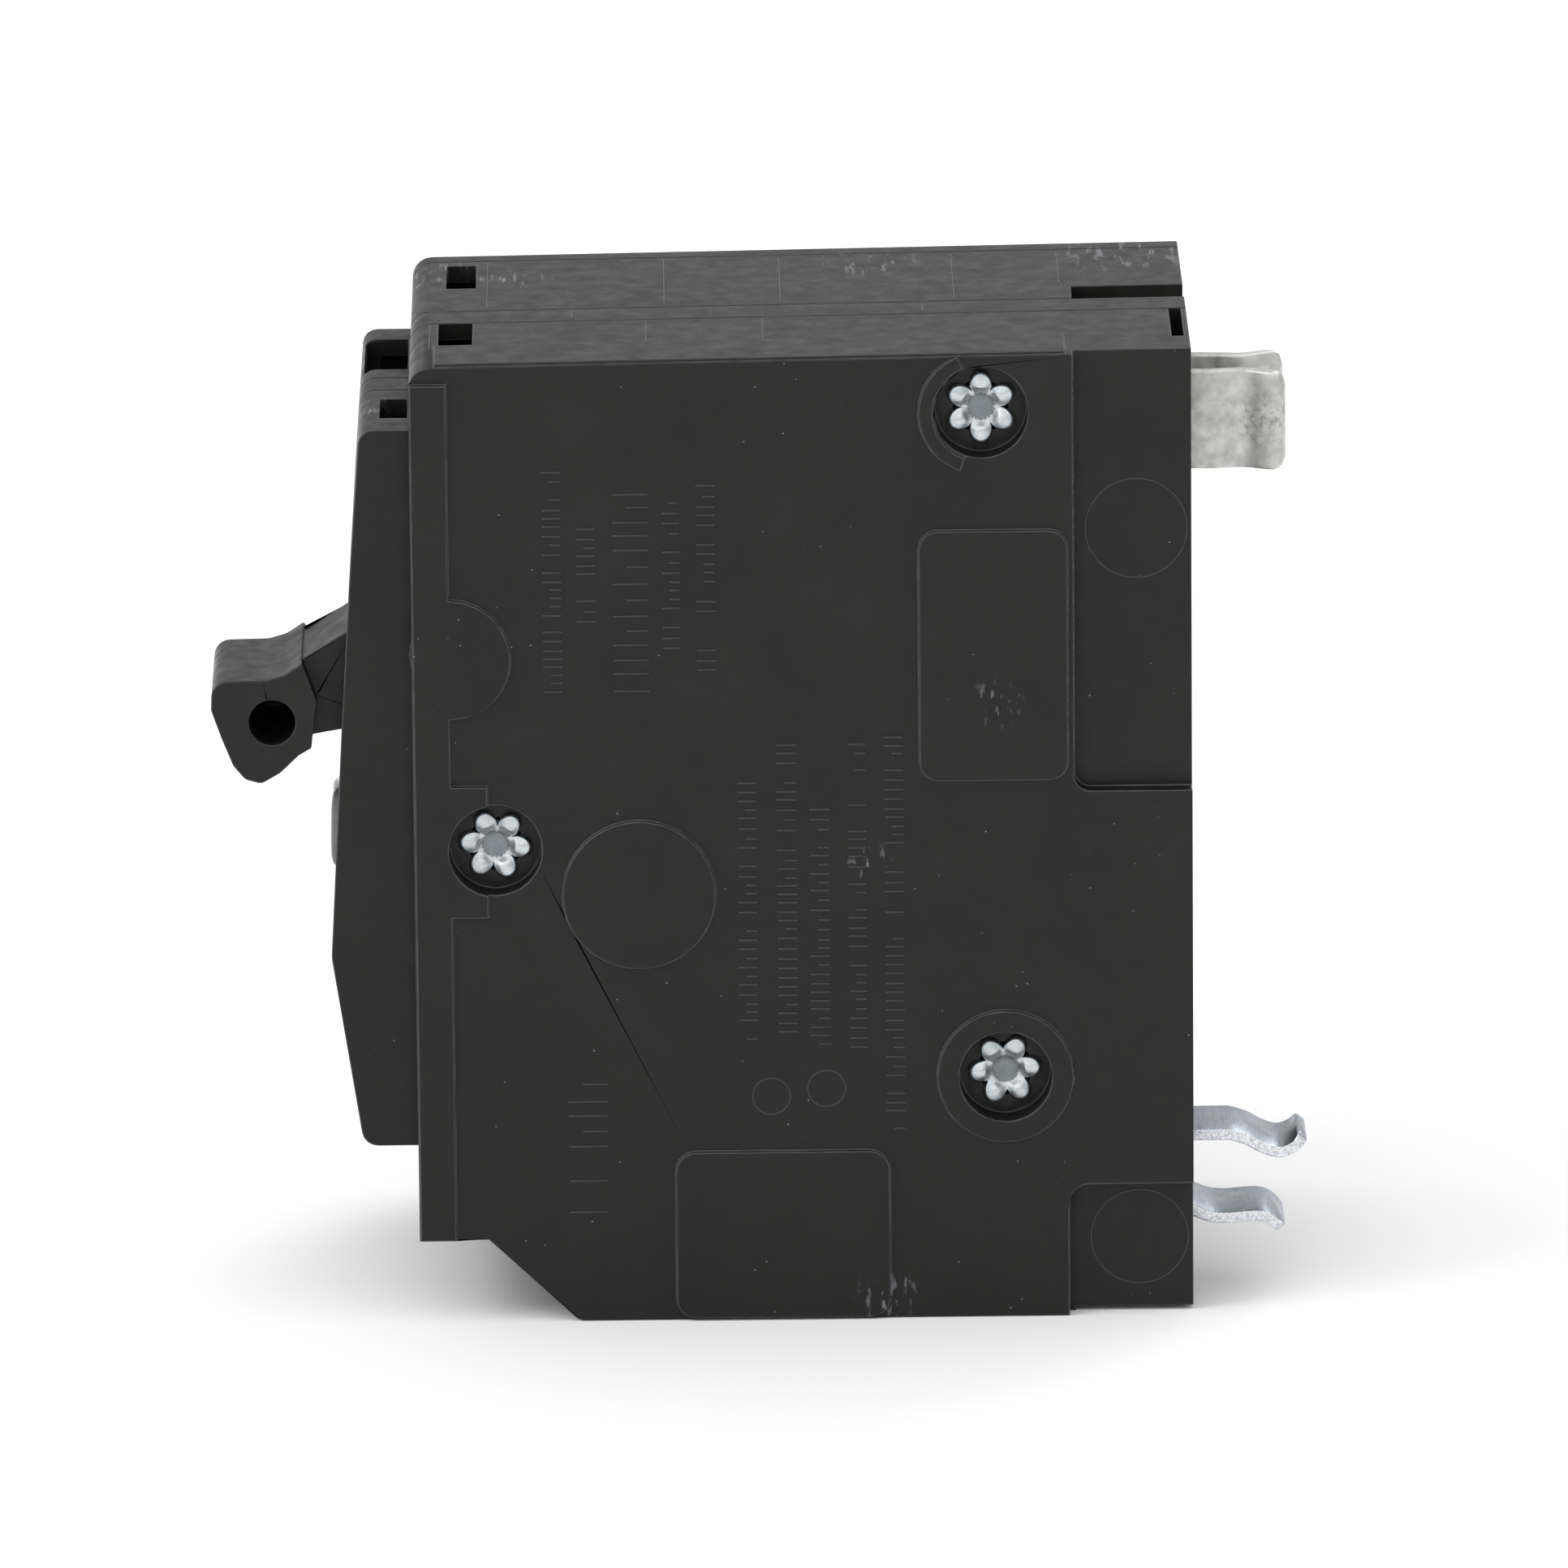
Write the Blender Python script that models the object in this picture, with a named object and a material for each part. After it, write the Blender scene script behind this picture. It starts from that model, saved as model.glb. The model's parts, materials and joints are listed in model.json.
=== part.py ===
"""Plug-on circuit breaker, one switching pole with a trip accessory module beside it.

Frame: -X is the front with the handle, +X the side that plugs into the panel, +Z the line
end, +Y across the poles. The breaker stands on its load-end foot at z = 0, and the origin
is at the centre of its box there. Working dimensions are millimetres in a case frame whose
x = 0 is the back face; make_mesh() turns them into metres about the origin.
"""
import math

import bmesh
import bpy
from mathutils import Matrix, Vector

for old in list(bpy.data.objects):
    bpy.data.objects.remove(old, do_unlink=True)

# ---------------------------------------------------------------- driving dimensions, mm
POLE_WIDTH = 19.05
HALF_WIDTH = POLE_WIDTH
CASE_DEPTH = 61.9
CASE_HEIGHT_BACK = 79.8
CASE_HEIGHT_FRONT = 79.1
END_STEP = 0.33
SHELF_HEIGHT = 6.85
SHELF_DEPTH = 5.5
CHAMFER_RUN = 7.2
BACK_FOOT_STEP = 0.35
BACK_ZONE = 9.4
WALL = 1.8
RELIEF = 0.4
SEAM = 0.3
COVER_THICKNESS = 4.0
FAR_COVER_THICKNESS = 2.35
SIDE_RECESS_DEPTH = 1.8
SIDE_RECESS_FLOOR = 43.6
LOW_RECESS_TOP = 10.95
LINK_SLOT_DEPTH = 4.1

TRIM_NEAR_Y = -17.1
TRIM_FAR_Y = 16.4
TRIM_TOP = 73.4
TRIM_BOTTOM = 14.35

PIVOT = (-59.1, 54.95)
DRUM_RADIUS = 7.6
STEM_WIDTH = 9.3
LOBE_WIDTH = 13.3
HANDLE_Y = -9.525
LOBE_HOLE = (-73.15, 49.25)
LOBE_HOLE_RADIUS = 1.85
LOBE_HOLE_WEB = 1.5        # the hole is blind
HANDLE_TIP_X = -78.0

RIVETS = {"rivet_front": (-55.5, 39.2), "rivet_line_end": (-16.65, 74.7),
          "rivet_load_end": (-15.0, 20.1)}
RIVET_HOLE_RADIUS = 3.7
RIVET_HOLE_DEPTH = 2.5
RIVET_BORE_RADIUS = 2.2
RIVET_SHANK_RADIUS = 1.85
RIVET_HEAD_RADIUS = 3.0

JAW_Y = -9.5
JAW_GAP = 4.3
JAW_THICKNESS = 1.1
JAW_Z = (68.4, 76.4)
CLIP_WIDTH = 7.0
CLIP_THICKNESS = 0.9
CLIP_TIP_X = 9.36

ARM_PIVOT = (-46.5, 61.5)
ARM_THROW = 18.0
CRADLE_PIVOT = (-44.0, 71.0)
ARMATURE_PIVOT = (-37.6, 27.6)
TRIP_LEVER_PIVOT = (-47.0, 47.0)
LUG_AXIS_Z = 12.0
COIL_AXIS = (9.3, 40.0)

ORIGIN_X = (HANDLE_TIP_X + CLIP_TIP_X) / 2
MM = 0.001

# ---------------------------------------------------------------- materials
PALETTE = {
    "black_moulding": ((0.022, 0.023, 0.021), 0.42, 0.0),
    "handle_moulding": ((0.020, 0.020, 0.019), 0.38, 0.0),
    "tinned_copper": ((0.62, 0.61, 0.58), 0.38, 1.0),
    "zinc_steel": ((0.42, 0.45, 0.49), 0.32, 1.0),
    "copper": ((0.72, 0.36, 0.22), 0.35, 1.0),
    "silver_contact": ((0.80, 0.79, 0.76), 0.30, 1.0),
    "spring_steel": ((0.33, 0.33, 0.34), 0.30, 1.0),
    "bimetal_strip": ((0.55, 0.52, 0.46), 0.35, 1.0),
    "arc_fibre": ((0.45, 0.19, 0.12), 0.80, 0.0),
    "flag_red": ((0.62, 0.04, 0.02), 0.45, 0.0),
    "clear_lens": ((0.80, 0.82, 0.84), 0.08, 0.0),
    "bobbin_nylon": ((0.75, 0.73, 0.66), 0.50, 0.0),
    "brass": ((0.66, 0.49, 0.20), 0.30, 1.0),
}


def material(name):
    found = bpy.data.materials.get(name)
    if found:
        return found
    colour, roughness, metallic = PALETTE[name]
    made = bpy.data.materials.new(name)
    made.use_nodes = True
    shader = made.node_tree.nodes["Principled BSDF"]
    shader.inputs["Base Color"].default_value = (*colour, 1.0)
    shader.inputs["Roughness"].default_value = roughness
    shader.inputs["Metallic"].default_value = metallic
    return made


# ---------------------------------------------------------------- outline helpers (x, z)
def rounded(points, steps=5):
    """Corners written (x, z, radius) become arcs; (x, z) stays sharp."""
    result = []
    count = len(points)
    for index, point in enumerate(points):
        here = Vector(point[:2])
        radius = point[2] if len(point) > 2 else 0.0
        if radius <= 0:
            result.append(tuple(here))
            continue
        before = (Vector(points[index - 1][:2]) - here).normalized()
        after = (Vector(points[(index + 1) % count][:2]) - here).normalized()
        half = before.angle(after) / 2
        reach = radius / math.tan(half)
        centre = here + (before + after).normalized() * (radius / math.sin(half))
        start = here + before * reach - centre
        end = here + after * reach - centre
        sweep = start.angle_signed(end)
        for step in range(steps + 1):
            turn = Matrix.Rotation(-sweep * step / steps, 2)
            result.append(tuple(centre + turn @ start))
    return result


def inset(points, distance):
    """The same outline moved inwards by distance; points run anticlockwise."""
    moved = []
    count = len(points)
    for index in range(count):
        before, here, after = (Vector(points[(index + k) % count][:2]) for k in (-1, 0, 1))
        d1 = (here - before).normalized()
        d2 = (after - here).normalized()
        n1 = Vector((-d1.y, d1.x))
        n2 = Vector((-d2.y, d2.x))
        scale = distance / (1 + n1.dot(n2))
        moved.append(tuple(here + (n1 + n2) * scale))
    return moved


def circle(centre, radius, count=24, start=0.0):
    return [(centre[0] + radius * math.cos(start + math.tau * i / count),
             centre[1] + radius * math.sin(start + math.tau * i / count)) for i in range(count)]


def arc(centre, radius, first, last, count):
    """Points on a circle from angle first to last, in degrees."""
    angles = [math.radians(first + (last - first) * i / count) for i in range(count + 1)]
    return [(centre[0] + radius * math.cos(a), centre[1] + radius * math.sin(a)) for a in angles]


def turned(points, centre, degrees):
    """Points rotated about +Y by degrees (positive lifts the -X side)."""
    a = math.radians(degrees)
    result = []
    for x, z in points:
        dx, dz = x - centre[0], z - centre[1]
        result.append((centre[0] + dx * math.cos(a) + dz * math.sin(a),
                       centre[1] - dx * math.sin(a) + dz * math.cos(a)))
    return result


def ribbon(path, thickness):
    """Outline of a strip of constant thickness that follows an open path."""
    left, right = [], []
    for index, point in enumerate(path):
        here = Vector(point)
        ahead = Vector(path[min(index + 1, len(path) - 1)]) - here
        behind = here - Vector(path[max(index - 1, 0)])
        if index == 0:
            behind = ahead
        if index == len(path) - 1:
            ahead = behind
        n1 = Vector((-ahead.y, ahead.x)).normalized()
        n2 = Vector((-behind.y, behind.x)).normalized()
        offset = (n1 + n2) / (1 + n1.dot(n2)) * thickness / 2
        left.append(tuple(here + offset))
        right.append(tuple(here - offset))
    return right + left[::-1]


def smooth_path(points, per_span=5):
    """Catmull-Rom curve through the points."""
    vectors = [Vector(p) for p in points]
    ends = [vectors[0] * 2 - vectors[1]] + vectors + [vectors[-1] * 2 - vectors[-2]]
    path = []
    for i in range(1, len(ends) - 2):
        p0, p1, p2, p3 = ends[i - 1:i + 3]
        for k in range(per_span):
            t = k / per_span
            path.append(tuple(0.5 * (2 * p1 + (p2 - p0) * t + (2 * p0 - 5 * p1 + 4 * p2 - p3) * t * t
                                     + (3 * p1 - p0 - 3 * p2 + p3) * t ** 3)))
    path.append(tuple(vectors[-1]))
    return path


# ---------------------------------------------------------------- solid helpers
def make_mesh(name, verts, faces, slot="black_moulding"):
    mesh = bpy.data.meshes.new(name)
    placed = [((x - ORIGIN_X) * MM, y * MM, z * MM) for x, y, z in verts]
    mesh.from_pydata(placed, [], faces)
    work = bmesh.new()
    work.from_mesh(mesh)
    bmesh.ops.recalc_face_normals(work, faces=work.faces)
    work.to_mesh(mesh)
    work.free()
    mesh.materials.append(material(slot))
    made = bpy.data.objects.new(name, mesh)
    bpy.context.scene.collection.objects.link(made)
    return made


def loft(name, rings, slot="black_moulding"):
    """A closed solid through rings of 3-D points that all have the same count."""
    count = len(rings[0])
    verts = [point for ring in rings for point in ring]
    faces = [tuple(range(count)), tuple(reversed(range(len(verts) - count, len(verts))))]
    for level in range(len(rings) - 1):
        base = level * count
        for i in range(count):
            j = (i + 1) % count
            faces.append((base + i, base + count + i, base + count + j, base + j))
    return make_mesh(name, verts, faces, slot)


def prism_y(name, outline, y0, y1, slot="black_moulding"):
    rings = [[(x, y, z) for x, z in outline] for y in (y0, y1)]
    return loft(name, rings, slot)


def prism_z(name, outline, z0, z1, slot="black_moulding"):
    """Outline points are (x, y)."""
    rings = [[(x, y, z) for x, y in outline] for z in (z0, z1)]
    return loft(name, rings, slot)


def box(name, x, y, z, slot="black_moulding"):
    return prism_y(name, [(x[0], z[0]), (x[1], z[0]), (x[1], z[1]), (x[0], z[1])], *y, slot)


def stepped_x(name, centre, profile, slot, count=20):
    """A round solid about an X axis through centre (y, z); profile holds (x, radius)."""
    rings = [[(x, *point) for point in circle(centre, radius, count)] for x, radius in profile]
    return loft(name, rings, slot)


def stepped_y(name, centre, profile, slot, count=20):
    """A round solid about a Y axis through centre (x, z); profile holds (y, radius)."""
    rings = [[(p[0], y, p[1]) for p in circle(centre, radius, count)] for y, radius in profile]
    return loft(name, rings, slot)


def combine(target, tools, operation):
    for tool in tools:
        modifier = target.modifiers.new("combine", "BOOLEAN")
        modifier.object = tool
        modifier.operation = operation
        modifier.solver = "EXACT"
        bpy.context.view_layer.update()
        graph = bpy.context.evaluated_depsgraph_get()
        result = bpy.data.meshes.new_from_object(target.evaluated_get(graph))
        target.modifiers.clear()
        target.data = result
        bpy.data.objects.remove(tool, do_unlink=True)
    work = bmesh.new()
    work.from_mesh(target.data)
    bmesh.ops.remove_doubles(work, verts=work.verts, dist=2e-6)
    bmesh.ops.dissolve_degenerate(work, edges=work.edges, dist=1e-6)
    work.to_mesh(target.data)
    work.free()
    return target


def cut(target, *tools):
    return combine(target, tools, "DIFFERENCE")


def join(target, *tools):
    return combine(target, tools, "UNION")


def tube(name, path, radius, slot, sides=8):
    """A round wire of 3-D points in case millimetres."""
    points = [Vector(p) for p in path]
    rings = []
    side = Vector((0, 1, 0))
    for index, point in enumerate(points):
        ahead = points[min(index + 1, len(points) - 1)] - points[max(index - 1, 0)]
        ahead.normalize()
        side = (side - ahead * side.dot(ahead)).normalized()
        up = ahead.cross(side)
        rings.append([tuple(point + radius * (side * math.cos(math.tau * k / sides)
                                              + up * math.sin(math.tau * k / sides)))
                      for k in range(sides)])
    return loft(name, rings, slot)


def helix(start, end, radius, turns, per_turn=12):
    """Points of a coil from start to end."""
    first, last = Vector(start), Vector(end)
    along = (last - first).normalized()
    side = along.orthogonal().normalized()
    up = along.cross(side)
    points = []
    for step in range(turns * per_turn + 1):
        angle = math.tau * step / per_turn
        centre = first.lerp(last, step / (turns * per_turn))
        points.append(tuple(centre + radius * (side * math.cos(angle) + up * math.sin(angle))))
    return points


def hinge_on(target, x, z, y=0.0):
    """Moves an object's origin to a point on its joint axis without moving its shape."""
    point = Vector(((x - ORIGIN_X) * MM, y * MM, z * MM))
    target.data.transform(Matrix.Translation(-point))
    target.location = point
    return target


def smooth(target, angle=35):
    target.data.shade_smooth()
    target.data.set_sharp_from_angle(angle=math.radians(angle))
    return target


# ---------------------------------------------------------------- case outlines
SHELF_X = -CASE_DEPTH + SHELF_DEPTH
FOOT_X = SHELF_X + CHAMFER_RUN


def case_outline(lower=0.0):
    """The side view of the case without its front trim."""
    return [(FOOT_X, 0, 1.2), (-BACK_ZONE, 0), (-BACK_ZONE, BACK_FOOT_STEP), (0, BACK_FOOT_STEP),
            (0, CASE_HEIGHT_BACK - lower), (-CASE_DEPTH, CASE_HEIGHT_FRONT - lower, 1.6),
            (-CASE_DEPTH, SHELF_HEIGHT), (SHELF_X, SHELF_HEIGHT)]


def rib_outline():
    """The low rib along the near edge of the line end, in (x, z)."""
    slope = (CASE_HEIGHT_BACK - CASE_HEIGHT_FRONT) / CASE_DEPTH
    front, back = -CASE_DEPTH + 2.0, -BACK_ZONE - 0.6
    return [(front, 77.0), (back, 77.0), (back, CASE_HEIGHT_BACK + slope * back),
            (front, CASE_HEIGHT_BACK + slope * front)]


def trim_outline(joint=1.0):
    """The block that stands through the panel's dead front; joint is its reach into the case."""
    return [(-CASE_DEPTH + joint, TRIM_BOTTOM), (-CASE_DEPTH + joint, TRIM_TOP),
            (-65.9, TRIM_TOP, 1.2), (-66.7, 63.0, 40.0), (-67.64, 48.6, 60.0),
            (-68.69, 30.0, 4.0), (-66.3, TRIM_BOTTOM, 1.3)]


def cavity_outline():
    return inset([p[:2] for p in case_outline()], WALL)


def back_cavity(points):
    """The part of a cavity outline that lies behind the side recess."""
    low, high = min(z for _, z in points), max(z for _, z in points)
    inner = -WALL
    edge = -BACK_ZONE - WALL
    return [(edge, low), (inner, low), (inner, high - 1), (edge, high - 1)]


def front_cavity(points):
    edge = -BACK_ZONE - WALL
    kept = [(min(x, edge), z) for x, z in points]
    unique = []
    for point in kept:
        if point not in unique:
            unique.append(point)
    return unique


def trim_cavity():
    return inset(rounded(trim_outline(4.5), 2), WALL - 0.3)


def shell(name, y_open, y_face, y_floor, y_back_floor, trim_y, trim_floor):
    """A moulded case half: y_open is its seam, y_face its outer side, y_floor its inner side."""
    body = prism_y(name, rounded(case_outline(END_STEP)), y_face, y_open)
    join(body, prism_y("trim", rounded(trim_outline(), 4), *trim_y))
    hollow = cavity_outline()
    cut(body,
        prism_y("hollow", front_cavity(hollow), y_floor, y_open + math.copysign(1, y_open - y_face)),
        prism_y("hollow_back", back_cavity(hollow), y_back_floor,
                y_open + math.copysign(1, y_open - y_face)),
        prism_y("hollow_trim", trim_cavity(), *trim_floor))
    return body


def rivet_columns(body, y_near, y_step, y_far, wide=4.7, slim=3.4):
    for x, z in RIVETS.values():
        profile = [(y_near, wide), (y_step, wide), (y_step + 0.01, slim), (y_far, slim)]
        join(body, stepped_y("column", (x, z), profile, "black_moulding", 28))


def rivet_bores(body, y_near, y_far, sink=None):
    """Bores through a shell; sink is (from, to) for the wide hole round the rivet's head."""
    for x, z in RIVETS.values():
        cut(body, stepped_y("bore", (x, z), [(y_near, RIVET_BORE_RADIUS), (y_far, RIVET_BORE_RADIUS)],
                            "black_moulding", 20))
        if sink:
            cut(body, stepped_y("sink", (x, z), [(y, RIVET_HOLE_RADIUS) for y in sink],
                                "black_moulding", 32))


# ---------------------------------------------------------------- the four mouldings
NEAR_FACE = -HALF_WIDTH
NEAR_PANEL = NEAR_FACE + RELIEF
NEAR_SEAM = -COVER_THICKNESS
FAR_FACE = HALF_WIDTH
FAR_PANEL = FAR_FACE - RELIEF
FAR_SEAM = FAR_FACE - FAR_COVER_THICKNESS
HALF_SEAM = SEAM / 2
STRIP_EDGE_X = -59.0
PIN_BOSS_RADIUS = 3.0
PIN_HOLE_RADIUS = 1.6
PIN_BOSS_TOP = -15.2
PIN_HOLE_FLOOR = -16.9


def relief_outlines():
    """The raised areas on the near side, as outlines in (x, z)."""
    front = -CASE_DEPTH + 0.05
    step_x = RIVETS["rivet_front"][0] - 0.6
    top = CASE_HEIGHT_FRONT - 1.7
    strip = [(front, SHELF_HEIGHT + 0.05), (STRIP_EDGE_X, SHELF_HEIGHT + 0.05), (STRIP_EDGE_X, 33.7),
             (step_x, 33.7), (step_x, 44.5), (STRIP_EDGE_X, 44.5)]
    strip += arc((STRIP_EDGE_X, PIVOT[1]), 4.9, -90, 90, 12) + [(STRIP_EDGE_X, top), (front, top)]
    r2 = RIVETS["rivet_line_end"]
    crescent = arc(r2, 5.0, 112, 250, 12) + arc(r2, 3.9, 250, 112, 10)
    pad_a = rounded([(-41.4, 0.2, 1.6), (-24.3, 0.2, 1.6), (-24.3, 14.05, 1.6), (-41.4, 14.05, 1.6)])
    pad_b = rounded([(-21.7, 44.6, 1.5), (-9.9, 44.6, 1.5), (-9.9, 65.1, 1.5), (-21.7, 65.1, 1.5)])
    return [strip, crescent, pad_a, pad_b, circle((-44.1, 35.45), 6.1, 40),
            circle(RIVETS["rivet_load_end"], 5.45, 36)]


def pole_base():
    body = shell("pole_base", NEAR_SEAM - HALF_SEAM, NEAR_PANEL, -17.25, -15.45,
                 (TRIM_NEAR_Y, NEAR_SEAM - HALF_SEAM), (-15.4, -3.0))
    join(body, prism_y("end_rib", rib_outline(), NEAR_PANEL + 0.02, -12.6))
    for outline in relief_outlines():
        join(body, prism_y("pad", outline, NEAR_FACE, NEAR_PANEL + 0.5))
    rivet_columns(body, -17.6, -14.0, NEAR_SEAM - HALF_SEAM)
    for x, z in (PIVOT, ARM_PIVOT, CRADLE_PIVOT):
        join(body, stepped_y("boss", (x, z), [(-17.6, PIN_BOSS_RADIUS), (PIN_BOSS_TOP, PIN_BOSS_RADIUS)],
                             "black_moulding", 24))
    join(body, box("screw_block", (-39.0, -33.0), (-17.6, -7.0), (1.2, 12.0)))
    side = rounded([(-BACK_ZONE, SIDE_RECESS_FLOOR, 1.3), (1, SIDE_RECESS_FLOOR), (1, 82), (-BACK_ZONE, 82)])
    low = rounded([(-9.96, -1), (1, -1), (1, LOW_RECESS_TOP), (-9.96, LOW_RECESS_TOP, 1.6)])
    recess = NEAR_FACE + SIDE_RECESS_DEPTH
    cut(body, prism_y("side_recess", side, -21, recess), prism_y("low_recess", low, -21, recess))
    rivet_bores(body, -18, -3, (-21, NEAR_FACE + RIVET_HOLE_DEPTH))
    for x, z in (PIVOT, ARM_PIVOT, CRADLE_PIVOT):
        cut(body, stepped_y("pin_hole", (x, z), [(PIN_HOLE_FLOOR, PIN_HOLE_RADIUS), (-15, PIN_HOLE_RADIUS)],
                            "black_moulding", 16))
    cut(body,
        box("handle_slot", (-71, -63.4), (-14.6, -3), (46.5, 63.4)),
        box("lens_window", (-71, -63.4), (-12.8, -6.2), (35.4, 43.0)),
        box("trim_slot", (-64.3, -62.1), (-13.15, -6.97), (70, 75)),
        box("end_hole", (-59.6, -56.9), (-11.8, -3), (76, 82)),
        box("end_notch", (-1.4, -0.45), (-13.2, -3), (77, 82)),
        box("jaw_window", (-3, 1), (-13.15, -5.85), (67.9, 76.8)),
        box("clip_slot_upper", (-3, 1), (-13.4, -5.6), (12.3, 14.3)),
        box("clip_slot_lower", (-3, 1), (-13.4, -5.6), (5.7, 8.1)),
        box("wire_entry", (-52.0, -47.2), (-13.0, -6.0), (-1, 9)),
        stepped_x("screw_hole", (HANDLE_Y, LUG_AXIS_Z), [(-63, 2.3), (-59, 2.3)], "black_moulding", 24),
        prism_z("calibration_bore", circle((-36.0, -10.2), 1.8, 20), -1, 13))
    return smooth(body, 30)


def pole_cover():
    near, far = NEAR_SEAM + HALF_SEAM, -HALF_SEAM
    body = shell("pole_cover", near, far, -1.8, -1.8, (near, far), (near - 1, -1.8))
    for x, z in RIVETS.values():
        join(body, stepped_y("column", (x, z), [(near, 3.4), (-1.5, 3.4)], "black_moulding", 28))
    rivet_bores(body, -6, 1)
    cut(body, box("lever_window", (-45.5, -36.5), (-3, 1), (48.5, 58.5)))
    return smooth(body, 30)


def accessory_base():
    body = shell("accessory_base", FAR_SEAM - HALF_SEAM, HALF_SEAM, 2.0, 5.9,
                 (HALF_SEAM, TRIM_FAR_Y), (2.0, 14.7))
    rivet_columns(body, 1.6, 3.0, FAR_SEAM - HALF_SEAM, 3.4, 3.38)
    recess = rounded([(-9.0, SIDE_RECESS_FLOOR, 1.3), (1, SIDE_RECESS_FLOOR), (1, 82), (-9.0, 82)])
    cut(body, prism_y("side_recess", recess, -1, LINK_SLOT_DEPTH))
    rivet_bores(body, -1, 18)
    cut(body,
        box("lever_window", (-45.5, -36.5), (-1, 3), (48.5, 58.5)),
        box("trim_slot", (-65.7, -62.2), (2.84, 13.02), (70, 75)),
        box("end_hole", (-59.1, -56.7), (7.66, 15.34), (76, 82)))
    for y in CONTROL_Y:
        cut(body, stepped_x("screw_hole", (y, LUG_AXIS_Z), [(-63, 2.1), (-59, 2.1)], "black_moulding", 20),
            box("control_wire_entry", (-56.0, -51.0), (y - 2.2, y + 2.2), (-1, 9)))
    return smooth(body, 30)


def accessory_cover():
    near = FAR_SEAM + HALF_SEAM
    body = prism_y("accessory_cover", rounded(case_outline(END_STEP)), near, FAR_PANEL)
    pads = (rounded([(-41.4, 0.2, 1.6), (-24.3, 0.2, 1.6), (-24.3, 14.05, 1.6), (-41.4, 14.05, 1.6)]),
            rounded([(-57.0, 16.0, 1.5), (-21.0, 16.0, 1.5), (-21.0, 66.0, 1.5), (-57.0, 66.0, 1.5)]))
    for outline in pads:
        join(body, prism_y("pad", outline, FAR_PANEL - 0.5, FAR_FACE))
    rivet_bores(body, 15, 21, (FAR_FACE - 1.4, 21))
    return smooth(body, 30)


# ---------------------------------------------------------------- rivets
def rivet(name):
    """A tubular rivet: a six-petal roll on the near side, a round head on the far side."""
    x, z = RIVETS[name]
    near_head = NEAR_FACE + RIVET_HOLE_DEPTH - 0.35
    far_head = FAR_FACE - 1.4 + 0.35
    petals = []
    for step in range(48):
        angle = math.tau * step / 48
        radius = RIVET_HEAD_RADIUS - 0.42 * (0.5 - 0.5 * math.cos(6 * angle))
        petals.append((x + radius * math.cos(angle), z + radius * math.sin(angle)))
    shank = [(near_head - 0.3, RIVET_SHANK_RADIUS), (far_head + 0.3, RIVET_SHANK_RADIUS)]
    body = stepped_y(name, (x, z), shank,
                     "zinc_steel", 24)
    join(body, prism_y("petals", petals, near_head - 0.75, near_head),
         stepped_y("far_head", (x, z), [(far_head, 3.0), (far_head + 0.7, 2.6)], "zinc_steel", 24))
    cut(body, stepped_y("dish", (x, z), [(near_head - 2, 1.6), (near_head - 0.1, 1.1)], "zinc_steel", 20))
    return smooth(body, 40)


# ---------------------------------------------------------------- plug-on hardware
def line_jaw():
    """The sprung U that grips the panel's stab, with the tongue that carries the fixed contact."""
    inner = JAW_GAP / 2 + JAW_THICKNESS / 2
    half = [(7.45, inner + 1.05), (5.0, inner - 0.1), (4.0, inner - 0.3), (1.5, inner), (-8.45, inner)]
    path = [(x, JAW_Y - y) for x, y in half] + [(x, JAW_Y + y) for x, y in half[::-1]]
    body = prism_z("line_jaw", ribbon(path, JAW_THICKNESS), *JAW_Z, slot="tinned_copper")
    join(body, box("tongue", (-28.0, -7.95), (JAW_Y - 3.2, JAW_Y + 3.2), (67.3, 68.6), "tinned_copper"))
    return smooth(body)


def rail_clip():
    """One folded strip whose two prongs snap over the panel's mounting rail."""
    upper_tip = [(9.0, 13.05), (8.3, 12.25), (7.1, 11.8), (5.8, 12.15), (4.5, 12.85), (3.2, 13.3)]
    flat_end = (0.3, 13.3)
    fold = [(-5.5, 13.05), (-7.3, 12.5), (-8.1, 10.5), (-7.3, 8.3), (-5.5, 7.6)]
    lower_tip = [(-1.5, 7.5), (0.0, 7.05), (1.4, 6.5), (2.8, 6.35), (5.4, 6.5), (6.5, 6.05), (7.3, 5.25)]
    path = smooth_path(upper_tip, 3) + [flat_end] + smooth_path(fold, 3) + smooth_path(lower_tip, 3)
    body = prism_y("rail_clip", ribbon(path, CLIP_THICKNESS), HANDLE_Y - CLIP_WIDTH / 2,
                   HANDLE_Y + CLIP_WIDTH / 2, "zinc_steel")
    return smooth(body, 50)


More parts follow.
